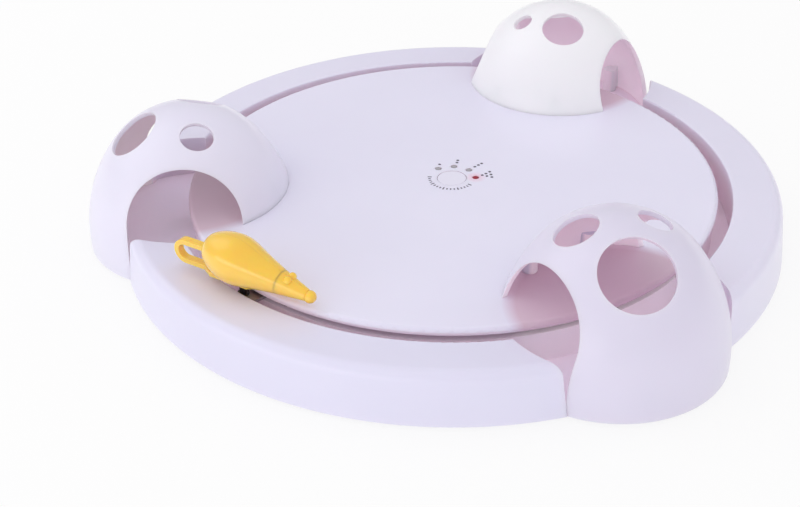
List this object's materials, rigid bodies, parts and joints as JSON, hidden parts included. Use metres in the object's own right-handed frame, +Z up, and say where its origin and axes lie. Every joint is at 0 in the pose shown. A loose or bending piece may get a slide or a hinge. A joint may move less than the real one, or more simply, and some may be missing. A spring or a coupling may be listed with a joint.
{
  "type": "orbiting_mouse_cat_toy",
  "caption": "Battery cat toy: a motor-driven mouse circles in a groove round a flat disc and runs through see-in domes with peep holes; push button and lamps in the middle.",
  "frame": {"origin": "on the floor, under the middle of the outline seen from above; the mouse's spin axis stands 8.5 mm from it towards -Y", "axes": "+Z up, +Y towards the rear dome, X across it; the rubber feet stand on Z = 0"},
  "size_m": [0.3048, 0.32, 0.065],
  "materials": {
    "white_shell": "glossy lavender-white moulded plastic, slightly translucent",
    "button_plastic": "glossy lavender-white moulded plastic",
    "lamp_red": "red indicator lens, lit",
    "lamp_grey": "grey translucent indicator lens, unlit",
    "mouse_yellow": "soft orange-yellow elastomer",
    "dark_pin": "black moulded plastic",
    "black_arm": "black painted pressed steel",
    "gear_plastic": "natural acetal",
    "steel": "turned or pressed steel",
    "zinc_screw": "zinc-plated screw",
    "board_green": "solder-masked fibreglass",
    "black_plastic": "black moulded component body",
    "battery_wrap": "plain wrapped cell",
    "contact_metal": "nickel-plated spring steel",
    "foot_rubber": "grey rubber"
  },
  "bodies": {
    "base": {"base_tray": "white_shell", "rim_front": "white_shell", "rim_right": "white_shell", "rim_left": "white_shell", "dome_rear": "white_shell", "dome_right": "white_shell", "dome_left": "white_shell", "deck": "white_shell", "circuit_board": "board_green", "tact_switch": "steel", "control_chip": "black_plastic", "lamp_lit": "lamp_red", "lamps_unlit": "lamp_grey", "drive_motor": "steel", "gear_pins": "steel", "gear_plate": "steel", "cell_front": "battery_wrap", "cell_middle": "battery_wrap", "cell_rear": "battery_wrap", "cell_contacts": "contact_metal", "rubber_feet": "foot_rubber", "rim_screws": "zinc_screw", "dome_screws": "zinc_screw", "deck_screws": "zinc_screw", "gear_plate_screws": "zinc_screw", "board_screws": "zinc_screw"},
    "turntable": {"hub_gear": "gear_plastic", "spin_arm": "black_arm", "arm_screws": "zinc_screw", "mouse_post": "dark_pin", "mouse_body": "mouse_yellow", "mouse_tail": "mouse_yellow", "roller_axle": "steel"},
    "roller": {"arm_roller": "black_plastic"},
    "second_gear_body": {"second_gear": "gear_plastic"},
    "first_gear_body": {"first_gear": "gear_plastic"},
    "motor_rotor": {"motor_shaft": "steel", "motor_pinion": "gear_plastic"},
    "button": {"mode_button": "button_plastic", "switch_plunger": "black_plastic"},
    "door": {"battery_door": "white_shell"}
  },
  "joints": [
    {"name": "mouse_orbit", "type": "hinge", "parent": "base", "child": "turntable", "pos_m": [0, -0.0085, 0.013], "axis": [0, 0, 1], "continuous": true},
    {"name": "second_gear_spin", "type": "hinge", "parent": "base", "child": "second_gear_body", "pos_m": [-0.013, -0.04421, 0.01], "axis": [0, 0, 1], "continuous": true},
    {"name": "first_gear_spin", "type": "hinge", "parent": "base", "child": "first_gear_body", "pos_m": [-0.0038, -0.06014, 0.014], "axis": [0, 0, 1], "continuous": true},
    {"name": "motor_spin", "type": "hinge", "parent": "base", "child": "motor_rotor", "pos_m": [0.01349, -0.05385, 0.014], "axis": [0, 0, 1], "continuous": true},
    {"name": "roller_roll", "type": "hinge", "parent": "turntable", "child": "roller", "pos_m": [-0.03175, -0.11235, 0.01195], "axis": [-0.2924, -0.9563, 0], "continuous": true},
    {"name": "button_press", "type": "slide", "parent": "base", "child": "button", "axis": [0, 0, -1], "range_m": [0, 0.0005], "stiffness_N_per_m": 400, "springref_m": -0.0005},
    {"name": "battery_door_pull", "type": "slide", "parent": "base", "child": "door", "axis": [0, 0, -1], "range_m": [0, 0.02]}
  ],
  "couplings": [
    {"joint": "second_gear_spin", "follows": "mouse_orbit", "ratio": -5.3333},
    {"joint": "first_gear_spin", "follows": "mouse_orbit", "ratio": 19.2},
    {"joint": "motor_spin", "follows": "mouse_orbit", "ratio": -69.12},
    {"joint": "roller_roll", "follows": "mouse_orbit", "ratio": -15.739}
  ]
}
